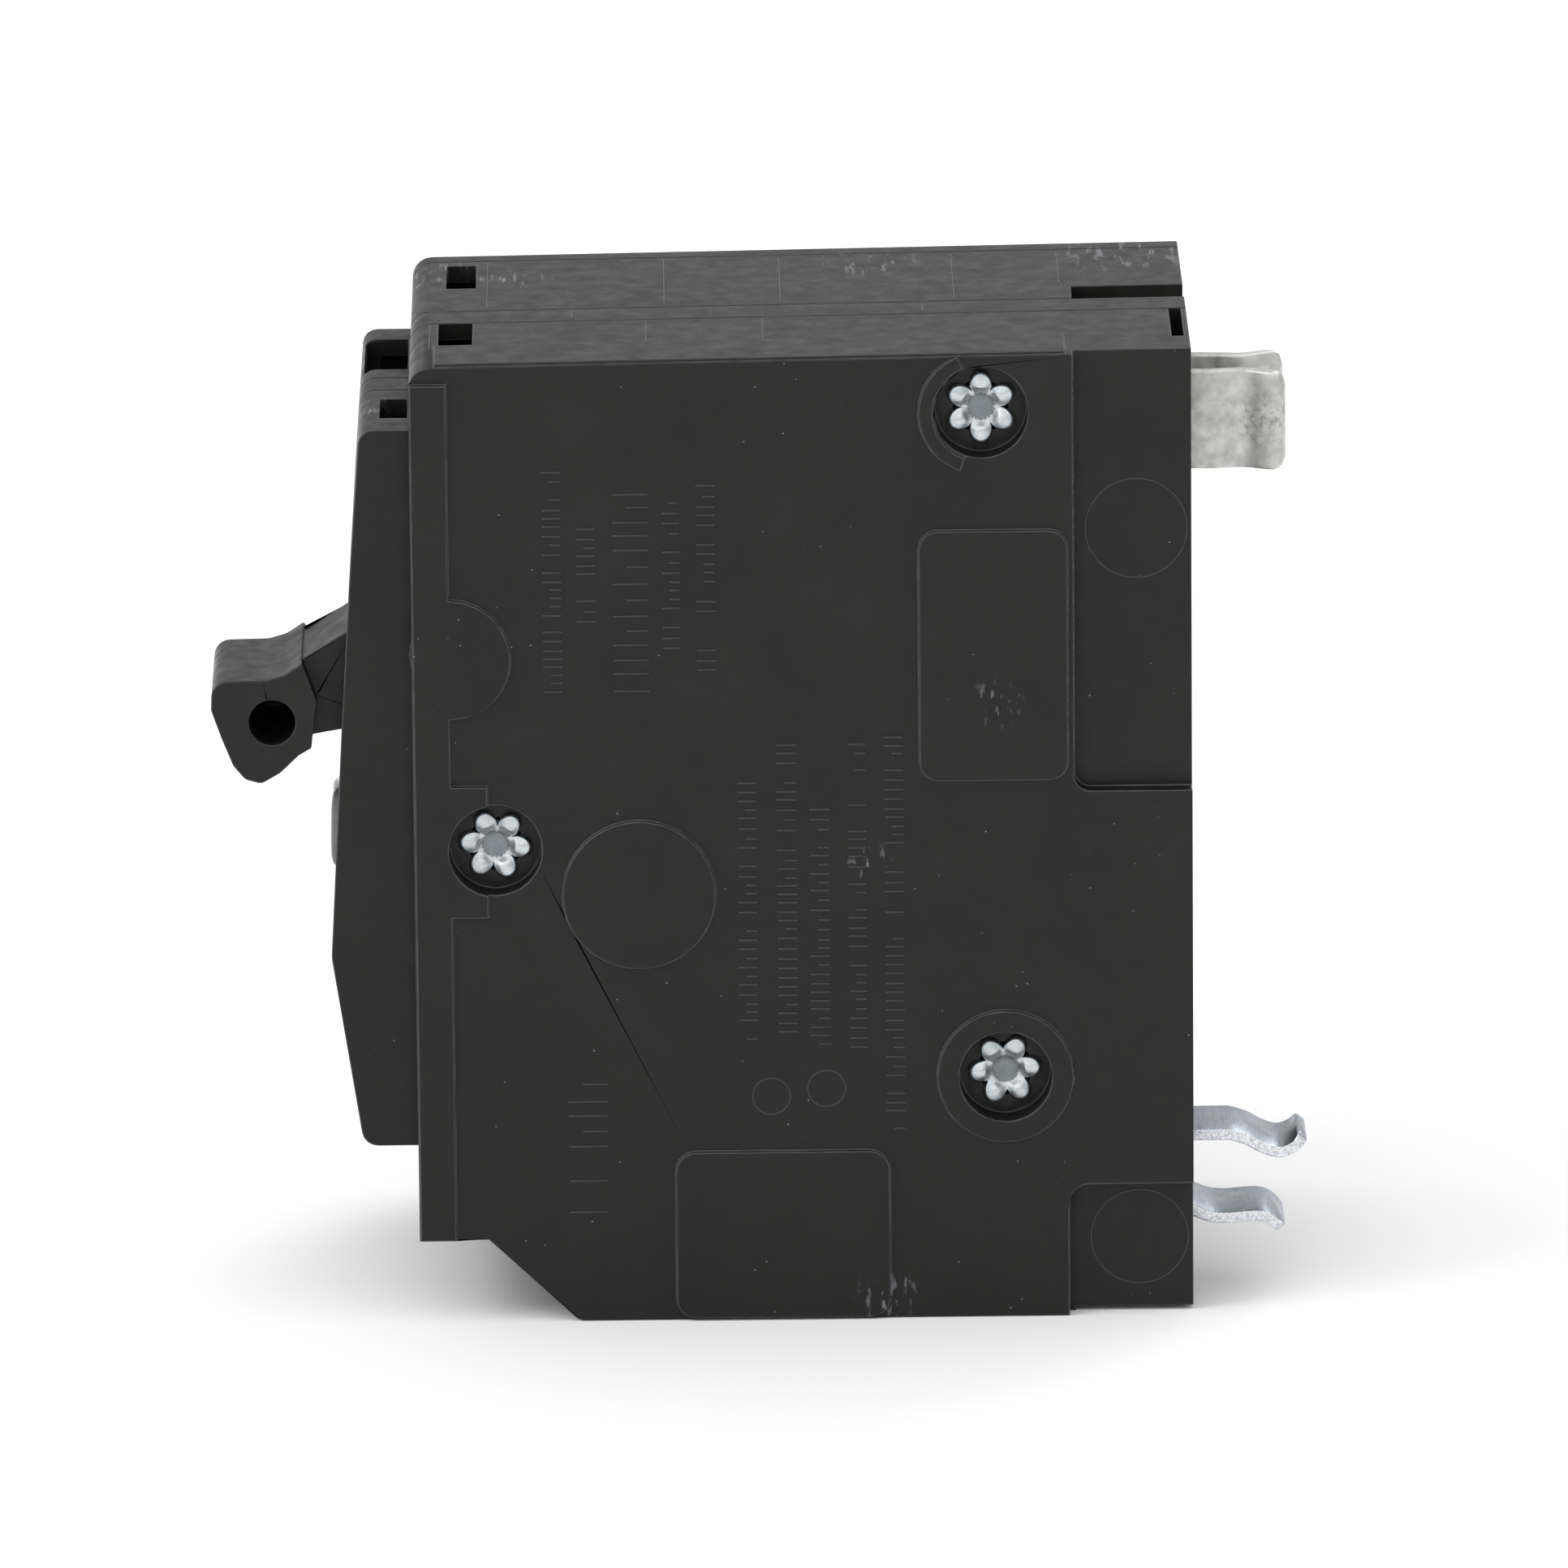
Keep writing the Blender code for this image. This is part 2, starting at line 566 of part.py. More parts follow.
# ---------------------------------------------------------------- handle
def handle():
    lobe = [(-70.7, 54.1, 0.2), (-72.1, 53.15, 2), (-73.55, 52.73, 2), (-77.9, 52.65, 1.3),
            (HANDLE_TIP_X, 50.3, 1), (-77.2, 47.98, 3), (-76.3, 45.7, 1.5), (-75.36, 44.57, 0.8),
            (-74.07, 44.2, 0.8), (-72.57, 45.07, 1), (-71.07, 46.5, 1), (-70.05, 47.1, 0.2),
            (-69.6, 51.0, 0.8)]
    stem = [(-71.5, 53.4), (-71.5, 47.45), (-67.78, 48.1), (-60.0, 49.0), (-60.0, 60.3), (-67.07, 56.2)]
    y0, y1 = HANDLE_Y - STEM_WIDTH / 2, HANDLE_Y + STEM_WIDTH / 2
    body = stepped_y("handle", PIVOT, [(y0, DRUM_RADIUS), (y1, DRUM_RADIUS)], "handle_moulding", 48)
    join(body, prism_y("stem", stem, y0, y1),
         prism_y("lobe", rounded(lobe, 6), HANDLE_Y - LOBE_WIDTH / 2, HANDLE_Y + LOBE_WIDTH / 2))
    hole_end = HANDLE_Y + LOBE_WIDTH / 2 - LOBE_HOLE_WEB
    cut(body, stepped_y("tie_hole", LOBE_HOLE, [(-20, LOBE_HOLE_RADIUS), (hole_end, LOBE_HOLE_RADIUS)],
                        "handle_moulding", 32),
        stepped_y("pin_bore", PIVOT, [(-20, 1.6), (0, 1.6)], "handle_moulding", 20))
    body.data.materials.clear()
    body.data.materials.append(material("handle_moulding"))
    return hinge_on(smooth(body), *PIVOT)


def pin(name, centre, radius=1.25):
    made = stepped_y(name, centre, [(PIN_HOLE_FLOOR + 0.3, radius), (-2.2, radius)], "zinc_steel", 16)
    return smooth(made)


# ---------------------------------------------------------------- contacts and arc chamber
CONTACT_X = -25.1
FIXED_CONTACT_Z = (66.0, 67.0)


def contact_arm():
    closed = arc(ARM_PIVOT, 3.0, 60, 300, 10)
    closed += [(-38, 60.0), (-27, 61.6), (-23.0, 61.9), (-22.4, 62.6), (-22.4, 64.4), (-27.6, 64.4),
               (-38, 63.4)]
    body = prism_y("contact_arm", turned(closed, ARM_PIVOT, ARM_THROW), -10.5, -8.5, "copper")
    cut(body, stepped_y("bore", ARM_PIVOT, [(-12, 1.6), (-7, 1.6)], "copper", 16))
    return hinge_on(smooth(body), *ARM_PIVOT)


def moving_contact():
    closed = [(CONTACT_X - 2, 64.7), (CONTACT_X + 2, 64.7), (CONTACT_X + 1.7, 65.6), (CONTACT_X - 1.7, 65.6)]
    body = prism_y("moving_contact", turned(closed, ARM_PIVOT, ARM_THROW), -11.5, -7.5, "silver_contact")
    return hinge_on(body, *ARM_PIVOT)


def fixed_contact():
    return smooth(prism_z("fixed_contact", circle((CONTACT_X, JAW_Y), 2.1, 20), *FIXED_CONTACT_Z,
                          slot="silver_contact"))


ARC_PLATES = 6
ARC_PITCH = 3.0
ARC_FIRST_Z = 49.0


def arc_plate(index):
    z = ARC_FIRST_Z + ARC_PITCH * index
    outline = [(-20.6, -15.2), (-12.0, -15.2), (-12.0, -5.0), (-20.6, -5.0), (-20.6, -7.6),
               (-17.4, -10.1), (-20.6, -12.6)]
    return prism_z(f"arc_plate_{index + 1}", outline, z, z + 1.0, slot="zinc_steel")


def arc_sides():
    near = box("arc_side_near", (-20.8, -11.8), (-16.6, -15.5), (48.0, 66.0), "arc_fibre")
    far = box("arc_side_far", (-20.8, -11.8), (-4.7, -3.6), (48.0, 66.0), "arc_fibre")
    return near, far


# ---------------------------------------------------------------- trip unit
def cradle():
    outline = arc(CRADLE_PIVOT, 2.8, 60, 270, 10)
    outline += [(-42.3, 64.5), (-42.6, 50.0), (-41.8, 46.6), (-38.5, 46.6), (-38.5, 49.4), (-39.9, 51.5),
                (-39.6, 64.0), (-41.4, 70.8)]
    body = prism_y("cradle", outline, -13.8, -12.2, "spring_steel")
    cut(body, stepped_y("bore", CRADLE_PIVOT, [(-15, 1.6), (-11, 1.6)], "spring_steel", 16))
    return hinge_on(smooth(body), *CRADLE_PIVOT)


def operating_spring():
    path = helix((-43.0, -6.4, 67.5), (-33.5, -6.4, 60.0), 1.5, 9, 10)
    return smooth(tube("operating_spring", path, 0.24, "spring_steel", 6), 80)


def bimetal():
    path = [(-43.0, 23.25), (-32.0, 23.25), (-31.0, 24.25), (-31.0, 49.0)]
    return prism_y("bimetal", ribbon(path, 1.0), -12.9, -7.6, "bimetal_strip")


def magnet_yoke():
    body = box("magnet_yoke", (-35.5, -28.6), (-14.6, -5.9), (28.0, 40.0), "zinc_steel")
    return cut(body, box("gap", (-37.0, -29.8), (-13.5, -7.0), (27.0, 41.0)))


def armature():
    body = box("armature", (-38.2, -37.0), (-14.5, -6.0), (27.2, 55.0), "zinc_steel")
    cut(body, box("latch_window", (-39.0, -36.0), (-14.1, -11.9), (46.0, 50.5)))
    return hinge_on(body, *ARMATURE_PIVOT)


def calibration_screw():
    body = prism_z("calibration_screw", circle((-36.0, -10.2), 1.45, 18), 3.0, 21.1, slot="brass")
    cut(body, box("slot", (-38.0, -34.0), (-10.5, -9.9), (2.0, 4.0)))
    return smooth(body)


def braid():
    path = smooth_path([(-31.0, 49.5), (-30.3, 52.0), (-31.2, 53.8), (-32.6, 55.2)], 5)
    return smooth(tube("braid", [(x, -10.2, z) for x, z in path], 0.9, "copper", 8), 60)


def trip_flag():
    body = box("trip_flag", (-65.2, -64.1), (-12.2, -6.8), (25.0, 33.0), "flag_red")
    return join(body, box("foot", (-64.5, -61.4), (-12.2, -6.8), (25.0, 26.2), "flag_red"))


def indicator_lens():
    outline = rounded([(-66.4, 35.75), (-66.4, 42.65), (-67.95, 42.65, 0.3), (-68.25, 41.0, 2),
                       (-68.85, 38.8, 3), (-68.75, 36.6, 1), (-68.3, 35.75, 0.3)][::-1], 4)
    return smooth(prism_y("indicator_lens", outline, -12.45, -6.55, "clear_lens"))


# ---------------------------------------------------------------- load terminal
PLATE_X = (-52.4, -51.4)


def load_terminal():
    path = [(-46.6, 9.4), (-46.6, 21.9), (-33.5, 21.9)]
    return prism_y("load_terminal", ribbon(path, 1.0), -13.0, -6.2, "tinned_copper")


def lug_body():
    body = box("lug_body", (-55.6, -44.6), (-14.2, -4.8), (9.0, 15.0), "tinned_copper")
    cut(body, box("wire_well", (-54.2, -45.8), (-13.4, -5.6), (8.0, 16.0)),
        stepped_x("bore", (HANDLE_Y, LUG_AXIS_Z), [(-57, 1.8), (-53, 1.8)], "tinned_copper", 18))
    return body


def lug_screw():
    profile = [(-61.4, 1.7), (-61.1, 1.95), (-59.4, 1.95), (-59.39, 1.45), (-52.7, 1.45)]
    body = stepped_x("lug_screw", (HANDLE_Y, LUG_AXIS_Z), profile, "zinc_steel", 20)
    cut(body, box("slot", (-62.0, -60.4), (HANDLE_Y - 0.35, HANDLE_Y + 0.35), (9.5, 14.5)))
    return hinge_on(smooth(body), -52.7, LUG_AXIS_Z, HANDLE_Y)


def pressure_plate():
    return box("pressure_plate", PLATE_X, (-13.0, -6.0), (9.6, 14.4), "zinc_steel")


# ---------------------------------------------------------------- accessory module
CONTROL_Y = (5.4, 12.6)


def coil():
    y, z = COIL_AXIS
    bobbin = stepped_x("coil_bobbin", (y, z), [(-40.5, 6.6), (-39.6, 6.6), (-39.59, 3.3), (-21.41, 3.3),
                                               (-21.4, 6.6), (-20.5, 6.6)], "bobbin_nylon", 28)
    cut(bobbin, stepped_x("bore", (y, z), [(-42, 2.5), (-19, 2.5)], "bobbin_nylon", 20))
    winding = stepped_x("coil_winding", (y, z), [(-39.2, 6.0), (-21.8, 6.0)], "copper", 28)
    cut(winding, stepped_x("bore", (y, z), [(-42, 3.65), (-19, 3.65)], "copper", 24))
    frame = box("coil_frame", (-42.3, -18.7), (4.3, 14.3), (31.4, 46.4), "zinc_steel")
    cut(frame, box("inside", (-41.0, -20.0), (1.0, 16.0), (32.7, 48.0)),
        stepped_x("bore", (y, z), [(-44, 2.6), (-17, 2.6)], "zinc_steel", 20))
    return smooth(bobbin), smooth(winding), smooth(frame)


def plunger():
    y, z = COIL_AXIS
    profile = [(-47.1, 1.6), (-46.4, 2.1), (-13.4, 2.1), (-13.39, 3.4), (-12.4, 3.4)]
    return smooth(stepped_x("plunger", (y, z), profile, "zinc_steel", 20))


def plunger_spring():
    y, z = COIL_AXIS
    return smooth(tube("plunger_spring", helix((-18.1, y, z), (-15.4, y, z), 2.9, 3, 12), 0.24,
                       "spring_steel", 6), 80)


def trip_lever():
    lx, lz = TRIP_LEVER_PIVOT
    outline = [(-49.4, 37.6), (-47.8, 37.6), (-47.8, 43.3), (lx + 2.2, lz - 1.4), (-39.9, 52.6),
               (-39.9, 54.6), (-42.2, 54.9), (lx - 1.8, lz + 1.8), (-49.4, 43.6)]
    body = prism_y("trip_lever", outline, 7.3, 11.3, "bobbin_nylon")
    join(body, stepped_y("peg", (-41.1, 53.6), [(-8.0, 1.1), (8.0, 1.1)], "bobbin_nylon", 14))
    cut(body, stepped_y("bore", (lx, lz), [(5, 1.35), (13, 1.35)], "bobbin_nylon", 14))
    return hinge_on(smooth(body), lx, lz)


def lever_pin():
    return smooth(stepped_y("lever_pin", TRIP_LEVER_PIVOT, [(2.3, 1.0), (16.2, 1.0)], "zinc_steel", 14))


def clearing_switch():
    body = box("clearing_switch", (-36.0, -22.0), (4.5, 11.5), (55.0, 63.0), "arc_fibre")
    cut(body, box("button_well", (-33.6, -30.4), (6.4, 9.6), (60.0, 64.0)))
    button = box("switch_button", (-33.2, -30.8), (6.8, 9.2), (61.4, 64.8), "bobbin_nylon")
    return body, button


def control_terminal(index):
    y = CONTROL_Y[index]
    block = box(f"control_terminal_{index + 1}", (-57.5, -50.5), (y - 2.6, y + 2.6), (9.2, 14.8), "brass")
    cut(block, stepped_x("bore", (y, LUG_AXIS_Z), [(-59, 1.7), (-55, 1.7)], "brass", 16),
        box("wire_hole", (-55.7, -51.2), (y - 2.15, y + 2.15), (8, 16)))
    screw = stepped_x(f"control_screw_{index + 1}", (y, LUG_AXIS_Z),
                      [(-61.3, 1.5), (-61.0, 1.75), (-59.6, 1.75), (-59.59, 1.35), (-55.9, 1.35)],
                      "zinc_steel", 18)
    cut(screw, box("slot", (-62.0, -60.4), (y - 0.3, y + 0.3), (9.5, 14.5)))
    return smooth(block), hinge_on(smooth(screw), -55.9, LUG_AXIS_Z, y)


# ---------------------------------------------------------------- assembly
pole_base()
pole_cover()
accessory_base()
accessory_cover()
for rivet_name in RIVETS:
    rivet(rivet_name)
line_jaw()
rail_clip()
handle()
pin("handle_pin", PIVOT)
pin("arm_pin", ARM_PIVOT)
pin("cradle_pin", CRADLE_PIVOT)
contact_arm()
moving_contact()
fixed_contact()
for plate_index in range(ARC_PLATES):
    arc_plate(plate_index)
arc_sides()
cradle()
operating_spring()
bimetal()
magnet_yoke()
armature()
calibration_screw()
braid()
trip_flag()
indicator_lens()
load_terminal()
lug_body()
lug_screw()
pressure_plate()
coil()
plunger()
plunger_spring()
trip_lever()
lever_pin()
clearing_switch()
for terminal_index in range(len(CONTROL_Y)):
    control_terminal(terminal_index)
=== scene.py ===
"""Looks of a plug-on circuit breaker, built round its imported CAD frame.

Lengths are written in millimetres in the breaker's own case frame: x = 0 is the case's back
face and -x the handle's side, y = 0 is the boundary between the two modules and -y the near
one, z = 0 is the foot. at() turns them into the frame's metres.
"""
import json
import math
import random

import bmesh
import bpy
from mathutils import Matrix, Vector
from mathutils.bvhtree import BVHTree

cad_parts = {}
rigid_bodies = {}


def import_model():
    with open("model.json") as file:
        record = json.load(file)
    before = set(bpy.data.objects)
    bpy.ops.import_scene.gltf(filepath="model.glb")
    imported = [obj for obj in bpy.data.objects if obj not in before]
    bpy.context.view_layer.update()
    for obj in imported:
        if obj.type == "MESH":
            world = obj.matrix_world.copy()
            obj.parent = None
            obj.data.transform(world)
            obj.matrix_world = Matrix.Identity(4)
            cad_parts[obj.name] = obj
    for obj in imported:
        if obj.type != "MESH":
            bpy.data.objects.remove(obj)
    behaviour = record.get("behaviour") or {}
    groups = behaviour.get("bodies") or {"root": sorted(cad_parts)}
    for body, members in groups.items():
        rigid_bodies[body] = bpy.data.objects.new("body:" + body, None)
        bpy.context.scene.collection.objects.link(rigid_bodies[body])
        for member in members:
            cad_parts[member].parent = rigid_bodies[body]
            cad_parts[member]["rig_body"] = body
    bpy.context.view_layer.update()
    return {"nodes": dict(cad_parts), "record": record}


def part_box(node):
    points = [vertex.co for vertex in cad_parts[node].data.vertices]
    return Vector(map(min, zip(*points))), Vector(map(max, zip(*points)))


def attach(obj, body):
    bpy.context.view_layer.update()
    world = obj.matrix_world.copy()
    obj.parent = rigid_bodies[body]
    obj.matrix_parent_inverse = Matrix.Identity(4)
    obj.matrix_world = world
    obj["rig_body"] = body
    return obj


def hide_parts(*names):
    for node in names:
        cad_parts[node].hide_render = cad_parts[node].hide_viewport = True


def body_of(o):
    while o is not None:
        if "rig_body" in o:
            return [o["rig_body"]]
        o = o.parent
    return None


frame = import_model()
NODES = frame["nodes"]

MM = 0.001
BACK_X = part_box("pole_base")[1].x
NEAR_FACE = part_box("pole_base")[0].y / MM
RELIEF = 0.4
NEAR_PANEL = NEAR_FACE + RELIEF
RECESS_FLOOR = NEAR_FACE + 1.8
CASE_ROUND = 0.10
HANDLE_ROUND = 0.12


def at(x, y, z):
    return Vector((BACK_X + x * MM, y * MM, z * MM))


# ---------------------------------------------------------------- material helpers
class Shader:
    """A Principled material with a few shorthands for its nodes."""

    def __init__(self, name, colour, roughness, metallic=0.0, specular=0.5):
        self.material = bpy.data.materials.new(name)
        self.material.use_nodes = True
        self.tree = self.material.node_tree
        self.bsdf = self.tree.nodes["Principled BSDF"]
        self.set("Base Color", (*colour, 1.0))
        self.set("Roughness", roughness)
        self.set("Metallic", metallic)
        self.set("Specular IOR Level", specular)
        self.place = self.tree.nodes.new("ShaderNodeTexCoord").outputs["Object"]

    def set(self, socket, value):
        self.bsdf.inputs[socket].default_value = value

    def link(self, output, socket):
        self.tree.links.new(output, socket)

    def stretch(self, scale, turn=(0.0, 0.0, 0.0)):
        node = self.tree.nodes.new("ShaderNodeMapping")
        node.inputs["Scale"].default_value = scale
        node.inputs["Rotation"].default_value = turn
        self.link(self.place, node.inputs["Vector"])
        return node.outputs["Vector"]

    def noise(self, size_mm, detail=3.0, vector=None):
        """Noise whose features are about size_mm across."""
        node = self.tree.nodes.new("ShaderNodeTexNoise")
        node.inputs["Scale"].default_value = 1 / (size_mm * MM)
        node.inputs["Detail"].default_value = detail
        self.link(vector or self.place, node.inputs["Vector"])
        return node.outputs["Fac"]

    def cells(self, size_mm, vector=None):
        node = self.tree.nodes.new("ShaderNodeTexVoronoi")
        node.inputs["Scale"].default_value = 1 / (size_mm * MM)
        self.link(vector or self.place, node.inputs["Vector"])
        return node.outputs["Distance"]

    def span(self, value, low, high, out_low=0.0, out_high=1.0):
        """Maps low..high to out_low..out_high and clamps."""
        node = self.tree.nodes.new("ShaderNodeMapRange")
        node.inputs["From Min"].default_value = low
        node.inputs["From Max"].default_value = high
        node.inputs["To Min"].default_value = out_low
        node.inputs["To Max"].default_value = out_high
        self.link(value, node.inputs["Value"])
        return node.outputs["Result"]

    def maths(self, kind, a, b):
        node = self.tree.nodes.new("ShaderNodeMath")
        node.operation = kind
        for index, value in enumerate((a, b)):
            if isinstance(value, (int, float)):
                node.inputs[index].default_value = value
            else:
                self.link(value, node.inputs[index])
        return node.outputs["Value"]

    def blend(self, factor, a, b):
        node = self.tree.nodes.new("ShaderNodeMix")
        node.data_type = "RGBA"
        self.link(factor, node.inputs[0])
        for socket, value in ((node.inputs[6], a), (node.inputs[7], b)):
            if isinstance(value, tuple):
                socket.default_value = (*value, 1.0)
            else:
                self.link(value, socket)
        return node.outputs[2]

    def near(self, point, radius_mm):
        """1 at a point in the frame, falling to 0 at radius_mm."""
        node = self.tree.nodes.new("ShaderNodeVectorMath")
        node.operation = "DISTANCE"
        self.link(self.place, node.inputs[0])
        node.inputs[1].default_value = point
        return self.span(node.outputs["Value"], 0.0, radius_mm * MM, 1.0, 0.0)

    def colour(self, output):
        self.link(output, self.bsdf.inputs["Base Color"])

    def roughness(self, output):
        self.link(output, self.bsdf.inputs["Roughness"])

    def bump(self, height, depth_mm, strength=1.0):
        node = self.tree.nodes.new("ShaderNodeBump")
        node.inputs["Strength"].default_value = strength
        node.inputs["Distance"].default_value = depth_mm * MM
        self.link(height, node.inputs["Height"])
        self.link(node.outputs["Normal"], self.bsdf.inputs["Normal"])


BLACK = (0.0068, 0.0070, 0.0062)
CLOUDED = (0.0092, 0.0090, 0.0083)
# lighter colour for the rounded edges: partly rubbing, partly a painted highlight
RUBBED_EDGE_AND_HIGHLIGHT = (0.062, 0.063, 0.068)
DUST = (0.17, 0.17, 0.16)
SCUFF = (0.30, 0.31, 0.34)


def moulding(name, wear_and_highlight, roughness=0.40):
    """Black moulded thermoset: fine grain, faint clouding, specks and local scuffs.
    The second argument runs from 0 on flat faces to 1 on the rounded edges, which it lightens
    partly as worn edges and partly as a painted highlight."""
    s = Shader(name, BLACK, roughness, 0.0, 0.26)
    cloud = s.span(s.noise(9.0, 4.0), 0.35, 0.70)
    base = s.blend(cloud, BLACK, CLOUDED)
    # sparse bright specks, each far smaller than its cell
    sparse = s.span(s.noise(5.5, 1.0), 0.56, 0.60)
    dot = s.span(s.cells(1.35), 0.0, 0.075, 1.0, 0.0)
    specks = s.maths("MULTIPLY", s.maths("GREATER_THAN", dot, 0.35), sparse)
    # handling marks on the line end, the trim's shoulder and the two pads
    rubbed = 0.0
    for point, radius in ((at(-60.4, 13.0, 79.3), 5.0), (at(-54.0, 10.5, 79.3), 4.0),
                          (at(-25.0, 13.5, 79.6), 5.0), (at(-64.5, -9.8, 73.4), 3.6),
                          (at(-4.0, 14.5, 79.8), 7.0), (at(-24.5, NEAR_FACE, 2.0), 3.0),
                          (at(-15.5, NEAR_FACE, 51.0), 2.4), (at(-26.0, NEAR_PANEL, 38.0), 2.2)):
        rubbed = s.maths("MAXIMUM", rubbed, s.near(point, radius))
    strokes = s.noise(0.45, 2.0, s.stretch((1.0, 0.16, 0.4), (0, 0, 0.25)))
    scuffs = s.maths("MULTIPLY", s.span(strokes, 0.57, 0.68), rubbed)
    marks = s.maths("MAXIMUM", s.maths("MULTIPLY", specks, 0.55), s.maths("MULTIPLY", scuffs, 0.6))
    # every rounded edge is lightened all along, never below 0.45 of the full amount: partly
    # rubbed-through edges, partly a painted highlight for the light on the fillets
    if wear_and_highlight:
        rub_and_highlight_mask = s.span(s.noise(1.6, 5.0), 0.30, 0.66, 0.45, 1.0)
        base = s.blend(s.maths("MULTIPLY", rub_and_highlight_mask, wear_and_highlight), base, RUBBED_EDGE_AND_HIGHLIGHT)
    s.colour(s.blend(marks, base, SCUFF))
    s.roughness(s.span(s.noise(1.6, 5.0), 0.3, 0.7, roughness - 0.06, roughness + 0.10))
    s.bump(s.noise(0.16, 2.0), 0.006, 0.5)
    return s.material


def dusty_wall(name):
    """The rough, dusty side walls of the near side's recesses."""
    s = Shader(name, BLACK, 0.75, 0.0, 0.2)
    grit = s.span(s.noise(0.28, 6.0), 0.47, 0.66)
    s.colour(s.blend(grit, (0.018, 0.018, 0.017), DUST))
    s.bump(s.noise(0.28, 6.0), 0.05, 0.8)
    return s.material


def tin_plate(name):
    """Matte tin plating, mottled, with darker rubbed patches and pits."""
    s = Shader(name, (0.50, 0.50, 0.48), 0.45, 0.9)
    bright, dull = (0.58, 0.58, 0.56), (0.40, 0.40, 0.385)
    mottled = s.blend(s.span(s.noise(1.1, 6.0), 0.35, 0.68), bright, dull)
    patches = s.span(s.noise(0.42, 5.0), 0.50, 0.64)
    rubbed = s.maths("MULTIPLY", patches, s.near(at(6.4, -12, 72.4), 3.4))
    s.colour(s.blend(rubbed, mottled, (0.17, 0.175, 0.175)))
    s.roughness(s.span(s.noise(0.7, 5.0), 0.3, 0.7, 0.36, 0.58))
    s.bump(s.noise(0.3, 5.0), 0.02, 0.5)
    return s.material


def zinc(name, colour=(0.36, 0.40, 0.46), roughness=0.26, draw=(1.0, 0.06, 1.0)):
    """Bluish zinc plate over drawn steel; the fine lines run along y."""
    s = Shader(name, colour, roughness, 1.0)
    lines = s.noise(0.10, 3.0, s.stretch(draw))
    darker = tuple(c * 0.72 for c in colour)
    s.colour(s.blend(s.span(lines, 0.35, 0.70), colour, darker))
    s.roughness(s.span(s.noise(1.3, 4.0), 0.3, 0.7, roughness - 0.06, roughness + 0.12))
    s.bump(lines, 0.004, 0.5)
    return s.material


def sheared(name):
    """The bright torn edge of punched steel."""
    s = Shader(name, (0.70, 0.71, 0.74), 0.42, 1.0)
    torn = s.noise(0.22, 5.0)
    s.colour(s.blend(s.span(torn, 0.4, 0.66), (0.80, 0.81, 0.84), (0.47, 0.49, 0.53)))
    s.bump(torn, 0.03, 0.7)
    return s.material


def plain_metal(name, colour, roughness, grain_mm=0.5):
    s = Shader(name, colour, roughness, 1.0)
    grain = s.noise(grain_mm, 5.0)
    s.colour(s.blend(s.span(grain, 0.35, 0.7), colour, tuple(c * 0.78 for c in colour)))
    s.roughness(s.span(grain, 0.3, 0.7, roughness - 0.05, roughness + 0.12))
    s.bump(grain, 0.008, 0.4)
    return s.material


def plain_plastic(name, colour, roughness):
    s = Shader(name, colour, roughness, 0.0, 0.4)
    fleck = s.noise(1.2, 5.0)
    s.colour(s.blend(s.span(fleck, 0.35, 0.7), colour, tuple(c * 0.84 for c in colour)))
    s.roughness(s.span(fleck, 0.3, 0.7, roughness - 0.05, roughness + 0.08))
    s.bump(s.noise(0.2, 3.0), 0.006, 0.4)
    return s.material


def clear_plastic(name):
    s = Shader(name, (0.90, 0.92, 0.93), 0.07)
    s.set("Transmission Weight", 0.92)
    s.set("IOR", 1.49)
    s.roughness(s.span(s.noise(1.0, 4.0), 0.4, 0.7, 0.05, 0.15))
    return s.material


LOOK = {
    "black_moulding": moulding("black_face", 0.0),
    "black_edge": moulding("black_edge", 0.85, 0.44),
    "handle_moulding": moulding("handle_face", 0.0, 0.36),
    "handle_edge": moulding("handle_edge", 0.35, 0.40),
    "dust": dusty_wall("dusty_wall"),
    # the raised ticks and circles are moulded in the same black as the case; their lighter colour
    # is a painted highlight along the raised lines
    "mark": plain_plastic("raised_mark", (0.022, 0.022, 0.023), 0.40),
    # the mould lines are the same black moulding; their light grey colour is a painted highlight
    # along them
    "scribe": plain_plastic("mould_line", (0.10, 0.10, 0.105), 0.55),
    "tinned_copper": tin_plate("tin_plate"),
    "zinc_steel": zinc("zinc_plate"),
    "zinc_petal": zinc("zinc_petal", (0.62, 0.67, 0.70), 0.30, (1.0, 1.0, 1.0)),
    # a darker copy of the rivet's zinc for its dished middle: painted shade for the dark bore of
    # the tubular rivet
    "zinc_dish_painted_shade": zinc("zinc_dish_painted_shade", (0.25, 0.285, 0.31), 0.48, (1.0, 1.0, 1.0)),
    "sheared": sheared("sheared_edge"),
    "copper": plain_metal("copper_bare", (0.72, 0.36, 0.22), 0.34),
    "silver_contact": plain_metal("silver_face", (0.78, 0.77, 0.74), 0.28),
    "spring_steel": plain_metal("spring_wire", (0.30, 0.30, 0.31), 0.30),
    "bimetal_strip": plain_metal("bimetal_rolled", (0.52, 0.50, 0.45), 0.34),
    "brass": plain_metal("brass_machined", (0.66, 0.49, 0.20), 0.28),
    "arc_fibre": plain_plastic("fibre", (0.38, 0.15, 0.09), 0.72),
    "flag_red": plain_plastic("red_plastic", (0.60, 0.035, 0.02), 0.36),
    "bobbin_nylon": plain_plastic("nylon", (0.70, 0.67, 0.59), 0.46),
    "clear_lens": clear_plastic("lens_plastic"),
}


